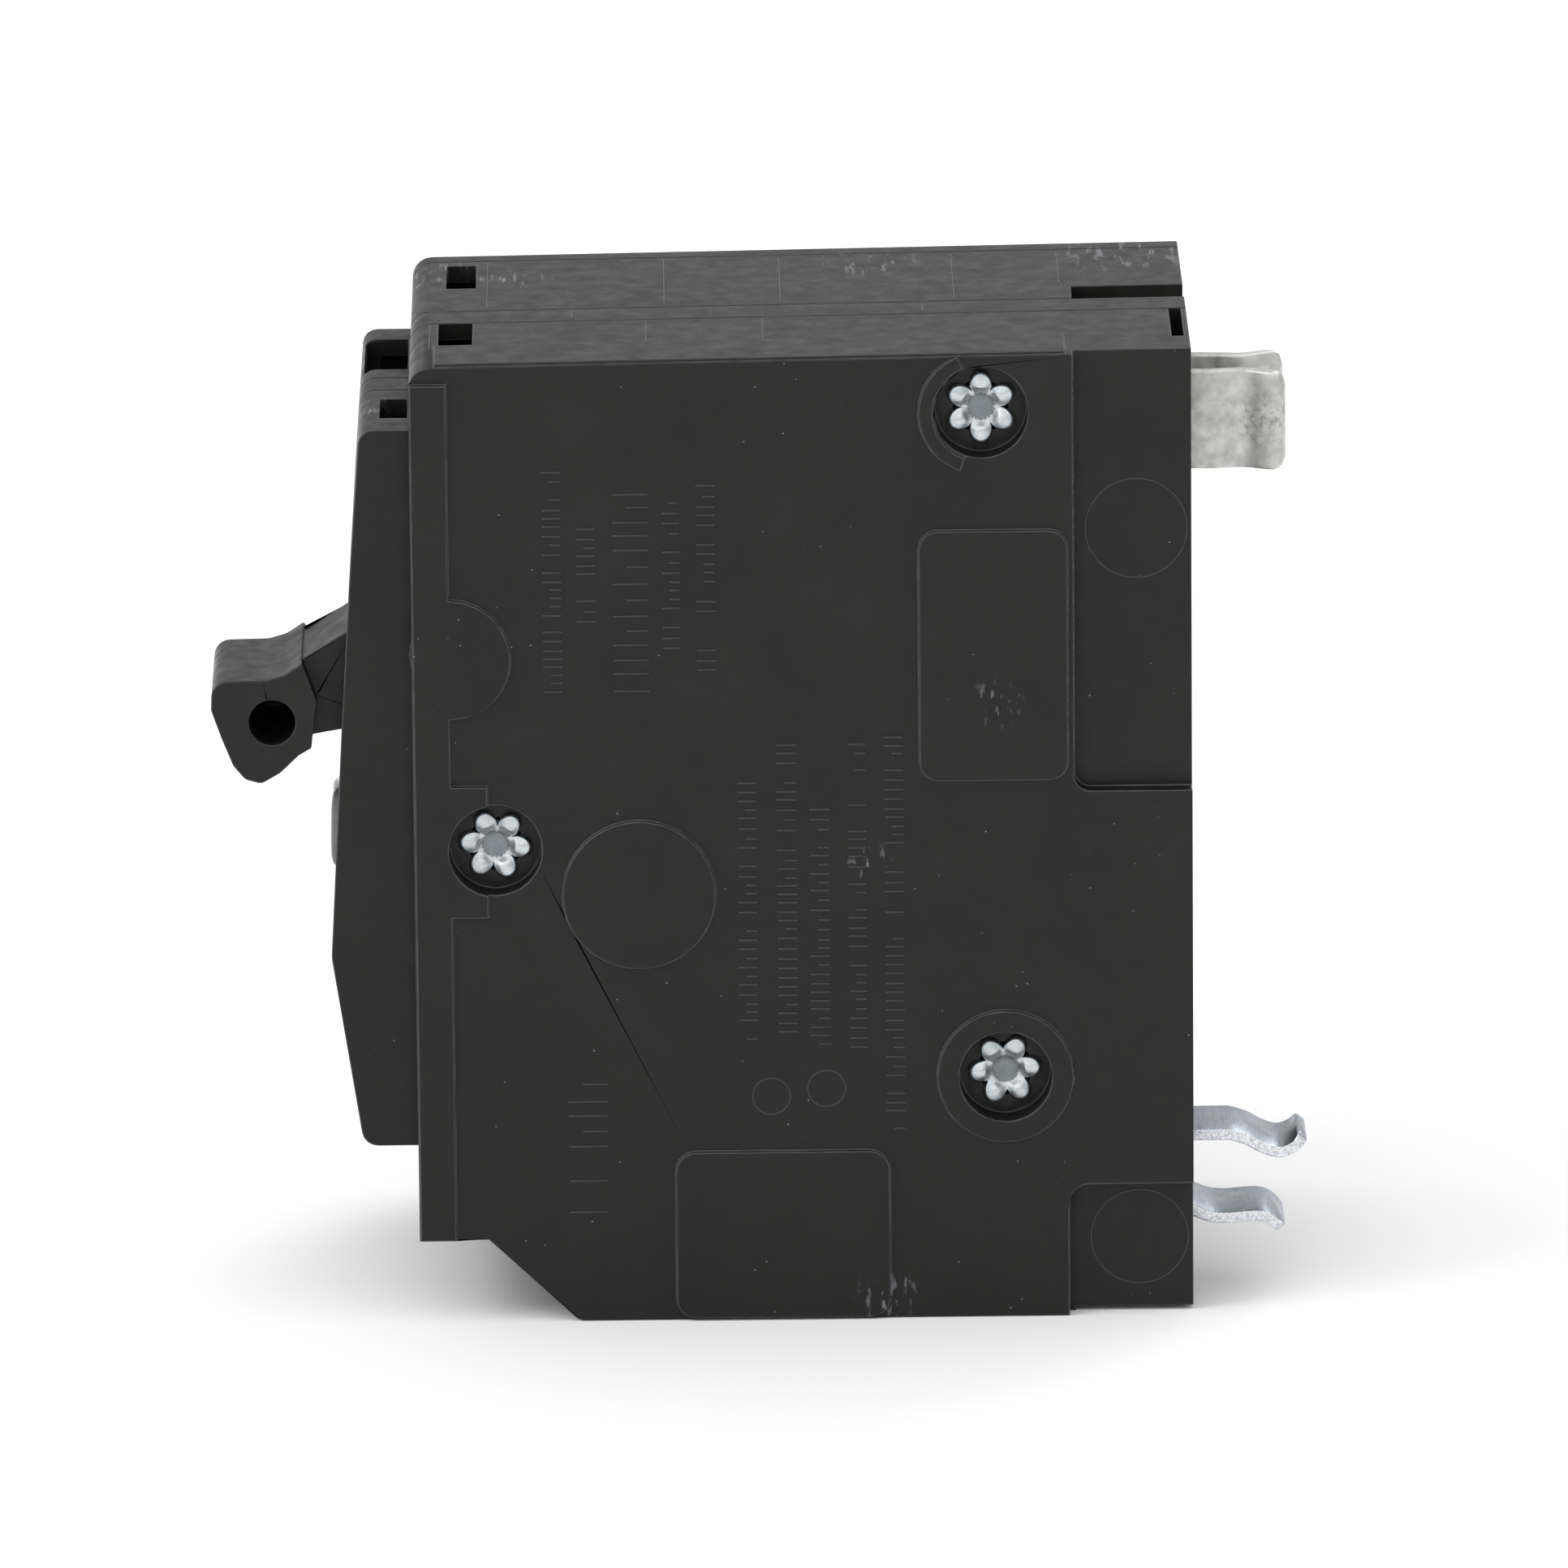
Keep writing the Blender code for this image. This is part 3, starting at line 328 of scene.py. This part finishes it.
# ---------------------------------------------------------------- mesh helpers
def new_piece(name, verts, faces, look, body="case", slot=None):
    """A closed piece from case-frame points in millimetres."""
    mesh = bpy.data.meshes.new(name)
    mesh.from_pydata([tuple(at(*v)) for v in verts], [], faces)
    work = bmesh.new()
    work.from_mesh(mesh)
    bmesh.ops.recalc_face_normals(work, faces=work.faces)
    work.to_mesh(mesh)
    work.free()
    piece = bpy.data.objects.new(name, mesh)
    bpy.context.scene.collection.objects.link(piece)
    mesh.materials.append(LOOK[look])
    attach(piece, body)
    return piece


def smooth(piece, angle=35):
    piece.data.shade_smooth()
    piece.data.set_sharp_from_angle(angle=math.radians(angle))
    return piece


def ring_solid(rings):
    """Vertices and faces of a closed solid through rings of equal count."""
    count = len(rings[0])
    verts = [point for ring in rings for point in ring]
    faces = [tuple(range(count)), tuple(range(len(verts) - 1, len(verts) - count - 1, -1))]
    for level in range(len(rings) - 1):
        a, b = level * count, (level + 1) * count
        faces += [(a + i, b + i, b + (i + 1) % count, a + (i + 1) % count) for i in range(count)]
    return verts, faces


def merged(solids):
    """Several separate closed solids as one list of vertices and faces."""
    verts, faces = [], []
    for part_verts, part_faces in solids:
        base = len(verts)
        verts += part_verts
        faces += [tuple(base + i for i in face) for face in part_faces]
    return verts, faces


def curve_through(points, per_span=6):
    """Catmull-Rom points through a path of 2-D points."""
    p = [Vector(q) for q in points]
    p = [p[0] * 2 - p[1]] + p + [p[-1] * 2 - p[-2]]
    path = []
    for i in range(1, len(p) - 2):
        for k in range(per_span):
            t = k / per_span
            path.append(0.5 * (2 * p[i] + (p[i + 1] - p[i - 1]) * t
                               + (2 * p[i - 1] - 5 * p[i] + 4 * p[i + 1] - p[i + 2]) * t * t
                               + (3 * p[i] - p[i - 1] - 3 * p[i + 1] + p[i + 2]) * t ** 3))
    path.append(p[-2])
    return path


def rounded_section(half_wide, half_thick, radius, steps=3):
    """A rectangle with rounded corners, (wide, thick)."""
    points = []
    for corner, (sw, st) in enumerate(((1, 1), (-1, 1), (-1, -1), (1, -1))):
        for k in range(steps + 1):
            a = math.radians(90 * corner + 90 * k / steps)
            points.append((sw * (half_wide - radius) + radius * math.cos(a),
                           st * (half_thick - radius) + radius * math.sin(a)))
    return points


def strip(path, wide, thick, to_point, corner, edge=0.14):
    """A bent strip with rounded edges; its two ends have corners of that radius in its width.
    to_point(point, across, offset) places a point of its section."""
    lengths = [0.0]
    for a, b in zip(path, path[1:]):
        lengths.append(lengths[-1] + (b - a).length)
    rings = []
    for index, here in enumerate(path):
        ahead = path[min(index + 1, len(path) - 1)] - path[max(index - 1, 0)]
        normal = Vector((-ahead.y, ahead.x)).normalized()
        reach = min(lengths[index], lengths[-1] - lengths[index])
        cut = 0.0
        if reach < corner:
            cut = corner - math.sqrt(max(0.0, corner ** 2 - (corner - reach) ** 2))
        pinch = 0.72 if index in (0, len(path) - 1) else 1.0
        section = rounded_section(wide / 2 - min(cut, corner), thick / 2 * pinch, edge * pinch)
        rings.append([to_point(here + normal * t, w) for w, t in section])
    return ring_solid(rings)


def evaluated(piece):
    """The mesh of a piece with its modifiers applied."""
    bpy.context.view_layer.update()
    depsgraph = bpy.context.evaluated_depsgraph_get()
    return bpy.data.meshes.new_from_object(piece.evaluated_get(depsgraph))


def face_outward(mesh, surface):
    """Turns round the triangles of a flat face that its rounded edges have pushed past their
    neighbours. They still overlap those, so a faint line can show there."""
    work = bmesh.new()
    work.from_mesh(mesh)
    wrong = [face for face in work.faces
             if face.normal.dot(surface.find_nearest(face.calc_center_median())[1]) < -0.3]
    bmesh.ops.reverse_faces(work, faces=wrong)
    work.to_mesh(mesh)
    work.free()


def refined(node, edge_mm, look, edge_look, angle=28):
    """A finer copy of a CAD node that stands for it, with every sharp edge rounded."""
    mesh = NODES[node].data.copy()
    work = bmesh.new()
    work.from_mesh(mesh)
    bmesh.ops.remove_doubles(work, verts=work.verts, dist=1e-6)
    for face in work.faces:
        face.material_index = 0
    surface = BVHTree.FromBMesh(work)
    work.to_mesh(mesh)
    work.free()
    mesh.materials.clear()
    mesh.materials.append(LOOK[look])
    mesh.materials.append(LOOK[edge_look])
    piece = bpy.data.objects.new(node + "_fine", mesh)
    bpy.context.scene.collection.objects.link(piece)
    bevel = piece.modifiers.new("edges", "BEVEL")
    bevel.width = edge_mm * MM
    bevel.segments = 2
    bevel.limit_method = "ANGLE"
    bevel.angle_limit = math.radians(angle)
    bevel.use_clamp_overlap = False
    bevel.material = 1
    fine = evaluated(piece)
    piece.modifiers.clear()
    face_outward(fine, surface)
    fine.shade_smooth()
    piece.data = fine
    weighted = piece.modifiers.new("flat faces", "WEIGHTED_NORMAL")
    weighted.keep_sharp = True
    piece.data = evaluated(piece)
    piece.modifiers.clear()
    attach(piece, body_of(NODES[node])[0])
    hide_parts(node)
    return piece


# ---------------------------------------------------------------- case
def mouldings():
    for node in ("pole_base", "pole_cover", "accessory_base", "accessory_cover"):
        piece = refined(node, CASE_ROUND, "black_moulding", "black_edge")
        if node == "pole_base":
            dust_recess_walls(piece)


def dust_recess_walls(piece):
    """The walls of the two near-side recesses get the dusty material."""
    piece.data.materials.append(LOOK["dust"])
    low, high = at(-9.99, NEAR_FACE + 0.1, -1), at(-9.30, RECESS_FLOOR + 0.05, 80)
    for face in piece.data.polygons:
        inside = all(low[k] <= face.center[k] <= high[k] for k in range(3))
        if inside and abs(face.normal.x) > 0.6:
            face.material_index = 2


def bar(x0, z0, x1, z1, surface, width=0.24, height=0.11):
    """A raised stroke with round ends on the near side, from one point to another."""
    start, end = Vector((x0, z0)), Vector((x1, z1))
    along = (end - start).normalized() if (end - start).length > 1e-6 else Vector((1, 0))
    turn = math.atan2(along.y, along.x)
    rings = []
    for y, radius in ((surface + 0.10, width / 2), (surface - height * 0.5, width / 2),
                      (surface - height, width / 2 * 0.55)):
        ring = []
        for centre, first in ((end, -90), (start, 90)):
            for k in range(5):
                a = turn + math.radians(first + 45 * k)
                ring.append((centre.x + radius * math.cos(a), y, centre.y + radius * math.sin(a)))
        rings.append(ring)
    return ring_solid(rings)


# Lines of raised marks on the near side: x from, x to, z from, z to, pitch of the marks.
MARK_LINES = ((-51.6, -49.9, 52.2, 71.8, 1.75), (-48.9, -47.2, 57.2, 67.0, 1.75),
              (-46.0, -43.0, 52.2, 71.7, 2.9), (-42.1, -40.5, 55.7, 68.5, 1.8),
              (-39.4, -37.7, 53.9, 70.5, 1.8), (-50.0, -46.7, 9.1, 21.7, 3.2),
              (-36.3, -34.6, 22.6, 46.0, 1.75), (-33.2, -31.4, 22.6, 48.7, 1.75),
              (-30.6, -28.8, 22.9, 43.8, 1.75), (-27.5, -25.9, 22.6, 48.9, 1.75),
              (-24.6, -22.9, 15.8, 49.1, 1.75))


def moulded_marks():
    """Plain parallel ticks that never meet, in rows on the near panel. They spell nothing."""
    rng = random.Random(7)
    solids = []
    for x0, x1, z0, z1, pitch in MARK_LINES:
        z = z0
        while z < z1 - 0.5 * pitch:
            if rng.random() < 0.84:
                left = x0 + 0.15 + rng.choice((0.0, 0.0, 0.35)) * (x1 - x0)
                solids.append(bar(left, z, x1 - 0.15, z, NEAR_PANEL, 0.20, 0.08))
            z += max(0.55, pitch * rng.uniform(0.36, 0.50))
    piece = new_piece("moulded_marks", *merged(solids), "mark", slot="black_moulding")
    smooth(piece, 50)


def hoop(centre, radius, surface, width=0.12, height=0.05, count=72):
    """A thin raised circle on a near-side surface, as one closed ring."""
    verts, faces = [], []
    for i in range(count):
        a = math.tau * i / count
        for r, y in ((radius - width, surface + 0.05), (radius - width * 0.5, surface - height),
                     (radius + width * 0.5, surface - height), (radius + width, surface + 0.05)):
            verts.append((centre[0] + r * math.cos(a), y, centre[1] + r * math.sin(a)))
    for i in range(count):
        a, b = 4 * i, 4 * ((i + 1) % count)
        faces += [(a + k, a + (k + 1) % 4, b + (k + 1) % 4, b + k) for k in range(4)]
    return verts, faces


def witness_circles():
    solids = [hoop((-4.4, 64.8), 4.05, RECESS_FLOOR), hoop((-4.3, 6.2), 3.9, RECESS_FLOOR),
              hoop((-33.7, 18.6), 1.5, NEAR_PANEL), hoop((-29.3, 19.2), 1.5, NEAR_PANEL)]
    smooth(new_piece("witness_circles", *merged(solids), "mark", slot="black_moulding"), 50)


def end_height(x):
    """Height of the line-end face at x, without the near rib."""
    return 79.47 + 0.7 / 61.9 * x


def scribe(x0, y0, x1, y1, width=0.10, height=0.045):
    """A thin raised line on the line-end face."""
    along = Vector((x1 - x0, y1 - y0)).normalized()
    side = Vector((-along.y, along.x)) * width / 2
    rings = []
    for drop, spread in ((-0.08, 1.0), (height, 0.6)):
        rings.append([(x + side.x * s * spread, y + side.y * s * spread, end_height(x) + drop)
                      for x, y, s in ((x0, y0, 1), (x0, y0, -1), (x1, y1, -1), (x1, y1, 1))])
    return ring_solid(rings)


def mould_lines():
    """Mould lines across the line end of both modules."""
    solids = [scribe(x, 0.6, x, 15.8) for x in (-55.8, -41.6, -32.3, -18.4)]
    solids.append(scribe(-9.9, 5.0, -9.9, 15.8))
    solids += [scribe(x, -12.2, x, -4.5) for x in (-60.3, -43.1, -33.8)]
    solids += [scribe(x, -3.4, x, -0.6) for x in (-49.0, -21.0)]
    smooth(new_piece("mould_lines", *merged(solids), "scribe", slot="black_moulding"), 50)


# ---------------------------------------------------------------- rivets
RIVET_HEAD_Y = NEAR_FACE + 2.15
FAR_HEAD_Y = 18.0
PETAL_TURN = {"rivet_front": -6.0, "rivet_line_end": 30.0, "rivet_load_end": 5.0}
RIVET_CENTRES = {name: ((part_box(name)[0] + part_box(name)[1]) / 2) for name in PETAL_TURN}


def rivet(name):
    """A tubular rivet whose end is split into six rolled petals round a dished middle."""
    cx, cz = (RIVET_CENTRES[name].x - BACK_X) / MM, RIVET_CENTRES[name].z / MM
    turn = math.radians(PETAL_TURN[name])
    count, steps = 120, 16
    rings = []

    def petal(angle):
        return abs(math.cos(3 * (angle - turn)))

    def ring(share):
        points = []
        for i in range(count):
            angle = math.tau * i / count
            lobe = petal(angle)
            outer = 1.50 + 1.48 * lobe ** 0.62
            r = 0.02 + (outer - 0.02) * share
            crown = min(1.0, max(0.0, (r - 1.05) / 0.75))
            crown = crown * crown * (3 - 2 * crown)
            droop = max(0.0, r - 2.0) ** 2
            height = (0.14 + 0.40 * lobe ** 1.3) * crown - 0.13 * droop
            if r < 1.15:
                height -= 0.22 * (1 - (r / 1.15) ** 4)
            if share > 0.94:
                height -= 0.16 * ((share - 0.94) / 0.06) ** 2
            points.append((cx + r * math.cos(angle), RIVET_HEAD_Y + 0.20 - height,
                           cz + r * math.sin(angle)))
        return points

    for step in range(steps + 1):
        rings.append(ring(step / steps))
    edge = rings[-1]
    rings.append([(x, RIVET_HEAD_Y + 0.72, z) for x, _, z in edge])
    for y, radius in ((RIVET_HEAD_Y + 0.74, 1.80), (FAR_HEAD_Y, 1.80),
                      (FAR_HEAD_Y + 0.01, 2.95), (FAR_HEAD_Y + 0.35, 2.90),
                      (FAR_HEAD_Y + 0.60, 2.45), (FAR_HEAD_Y + 0.66, 1.2)):
        rings.append([(cx + radius * math.cos(math.tau * i / count), y,
                       cz + radius * math.sin(math.tau * i / count)) for i in range(count)])
    piece = new_piece(name + "_head", *ring_solid(rings), "zinc_petal", slot="zinc_steel")
    # the dished middle gets the darker zinc: painted shade standing in for the hollow bore
    piece.data.materials.append(LOOK["zinc_dish_painted_shade"])
    centre = RIVET_CENTRES[name]
    for face in piece.data.polygons:
        off = math.hypot(face.center.x - centre.x, face.center.z - centre.z)
        if off < 1.12 * MM and face.center.y < 0:
            face.material_index = 1
    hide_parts(name)
    smooth(piece, 60)


# ---------------------------------------------------------------- plug-on hardware
def line_jaw():
    """Two tin-plated blades, pinched and flared, bent from one strip; the tongue is inside."""
    low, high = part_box("line_jaw")
    y_mid = (low.y + high.y) / 2 / MM
    z_mid, tall, thick = 72.4, 8.0, 1.1
    half = [(7.45, 3.72), (6.2, 3.2), (5.1, 2.66), (4.2, 2.42), (3.0, 2.52), (1.5, 2.70),
            (-3.0, 2.70), (-8.3, 2.70)]
    solids = []
    for sign in (-1, 1):
        path = curve_through([(x, y_mid + sign * y) for x, y in half], 5)
        solids.append(strip(path, tall, thick, lambda p, w: (p.x, p.y, z_mid + w), 0.9, 0.20))
    corners = ((y_mid - 3.2, 67.3), (y_mid + 3.2, 67.3), (y_mid + 3.2, 68.5), (y_mid - 3.2, 68.5))
    tongue = [[(x, y, z) for y, z in corners] for x in (-28.0, -7.0)]
    solids.append(ring_solid(tongue))
    corners = ((y_mid - 3.2, 68.4), (y_mid + 3.2, 68.4), (y_mid + 3.2, 76.4), (y_mid - 3.2, 76.4))
    web = [[(x, y, z) for y, z in corners] for x in (-9.0, -7.9)]
    solids.append(ring_solid(web))
    piece = new_piece("line_jaw_blades", *merged(solids), "tinned_copper", slot="tinned_copper")
    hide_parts("line_jaw")
    smooth(piece, 45)


def rail_clip():
    """The folded strip: drawn faces, bright sheared edges and curled, rounded tips."""
    upper = [(9.0, 13.05), (8.3, 12.25), (7.1, 11.8), (5.8, 12.15), (4.5, 12.85), (3.2, 13.3)]
    flat_end = [Vector((0.3, 13.3))]
    fold = [(-5.5, 13.05), (-7.3, 12.5), (-8.1, 10.5), (-7.3, 8.3), (-5.5, 7.6)]
    lower = [(-1.5, 7.5), (0.0, 7.05), (1.4, 6.5), (2.8, 6.35), (5.4, 6.5), (6.5, 6.05),
             (7.3, 5.25)]
    path = curve_through(upper, 6) + flat_end + curve_through(fold, 6) + curve_through(lower, 6)
    low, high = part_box("rail_clip")
    y_mid, wide = (low.y + high.y) / 2 / MM, (high.y - low.y) / MM
    solid = strip(path, wide, 0.9, lambda p, w: (p.x, y_mid + w, p.y), 1.15, 0.12)
    piece = new_piece("rail_clip_strip", *solid, "zinc_steel", slot="zinc_steel")
    piece.data.materials.append(LOOK["sheared"])
    for face in piece.data.polygons:
        if abs(face.normal.y) > 0.55:
            face.material_index = 1
    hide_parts("rail_clip")
    smooth(piece, 50)


# ---------------------------------------------------------------- trim
def indicator_lens():
    """A shallow clear dome in the trim's window, fullest a little above its middle."""
    y0, y1, z0, z1 = -12.45, -6.55, 35.75, 42.65
    count, steps = 64, 10
    rings = []

    def ring(share, x_of):
        points = []
        for i in range(count):
            a = math.tau * i / count
            c, s = math.cos(a), math.sin(a)
            stretch = 1 / (abs(c) ** 5 + abs(s) ** 5) ** 0.2
            y = (y0 + y1) / 2 + (y1 - y0) / 2 * share * c * stretch
            z = (z0 + z1) / 2 + (z1 - z0) / 2 * share * s * stretch
            points.append((x_of(y, z), y, z))
        return points

    rings.append(ring(1.0, lambda y, z: -66.45))
    for step in range(steps):
        share = 1.0 - step / steps
        rise = math.sqrt(max(0.0, 1 - share ** 4))
        rings.append(ring(share, lambda y, z: -67.95 - 0.85 * rise - 0.02 * (39.0 - z)))
    piece = new_piece("indicator_dome", *ring_solid(rings), "clear_lens", slot="clear_lens")
    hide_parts("indicator_lens")
    smooth(piece, 60)


# ---------------------------------------------------------------- the other CAD nodes
def finish_cad_nodes():
    """Every CAD node that still shows gets its slot's finished material."""
    slots = {row["node"]: row["material_slot"] for row in frame["record"]["subparts"]}
    for name, node in NODES.items():
        if node.hide_render:
            continue
        for slot in node.material_slots:
            slot.link = "OBJECT"
            slot.material = LOOK[slots[name]]


def handle():
    piece = refined("handle", HANDLE_ROUND, "handle_moulding", "handle_edge", 40)


# ---------------------------------------------------------------- studio
CAMERA_LENS = 419.25
CAMERA_PLACE = (-43.49, -1418.54, 427.62)
CAMERA_AZIMUTH = 0.45
CAMERA_ELEVATION = 15.308
CAMERA_ROLL = -0.5


def camera():
    data = bpy.data.cameras.new("camera")
    data.lens = CAMERA_LENS
    data.sensor_width = 36.0
    data.clip_start, data.clip_end = 0.05, 60.0
    eye = bpy.data.objects.new("camera", data)
    bpy.context.scene.collection.objects.link(eye)
    az, el, roll = (math.radians(v) for v in (CAMERA_AZIMUTH, CAMERA_ELEVATION, CAMERA_ROLL))
    ahead = Vector((math.sin(az) * math.cos(el), math.cos(az) * math.cos(el), -math.sin(el)))
    level = Vector((math.cos(az), -math.sin(az), 0.0))
    upright = level.cross(ahead)
    right = level * math.cos(roll) + upright * math.sin(roll)
    up = upright * math.cos(roll) - level * math.sin(roll)
    axes = Matrix((right, up, -ahead)).transposed().to_4x4()
    eye.matrix_world = Matrix.Translation(at(*CAMERA_PLACE)) @ axes
    bpy.context.scene.camera = eye


def lamp(name, kind, place, energy, size=1.0, target=(0.0, 0.0, 0.04)):
    data = bpy.data.lights.new(name, kind)
    data.energy = energy
    if kind == "AREA":
        data.size = size
    else:
        data.angle = size
    light = bpy.data.objects.new(name, data)
    bpy.context.scene.collection.objects.link(light)
    light.location = place
    light.rotation_euler = (Vector(target) - Vector(place)).to_track_quat("-Z", "Y").to_euler()


def studio():
    floor_mesh = bpy.data.meshes.new("floor")
    reach = 30.0
    corners = [(-reach, -reach, 0), (reach, -reach, 0), (reach, reach, 0), (-reach, reach, 0)]
    floor_mesh.from_pydata(corners, [], [(0, 1, 2, 3)])
    floor = bpy.data.objects.new("floor", floor_mesh)
    bpy.context.scene.collection.objects.link(floor)
    paper = Shader("paper", (0.90, 0.90, 0.90), 0.9, 0.0, 0.1)
    floor_mesh.materials.append(paper.material)
    world = bpy.data.worlds.new("studio")
    world.use_nodes = True
    world.node_tree.nodes["Background"].inputs["Color"].default_value = (1, 1, 1, 1)
    world.node_tree.nodes["Background"].inputs["Strength"].default_value = 0.72
    bpy.context.scene.world = world
    lamp("overhead", "SUN", (-0.25, -0.35, 1.0), 1.5, math.radians(120))
    lamp("left_box", "AREA", (-0.9, -0.35, 0.75), 4.0, 0.5)
    lamp("back_box", "AREA", (0.5, 0.9, 0.8), 3.0, 0.6)
    bpy.context.scene.view_settings.view_transform = "Standard"


# ---------------------------------------------------------------- build
camera()
mouldings()
moulded_marks()
witness_circles()
mould_lines()
for rivet_name in PETAL_TURN:
    rivet(rivet_name)
line_jaw()
rail_clip()
indicator_lens()
handle()
finish_cad_nodes()
studio()
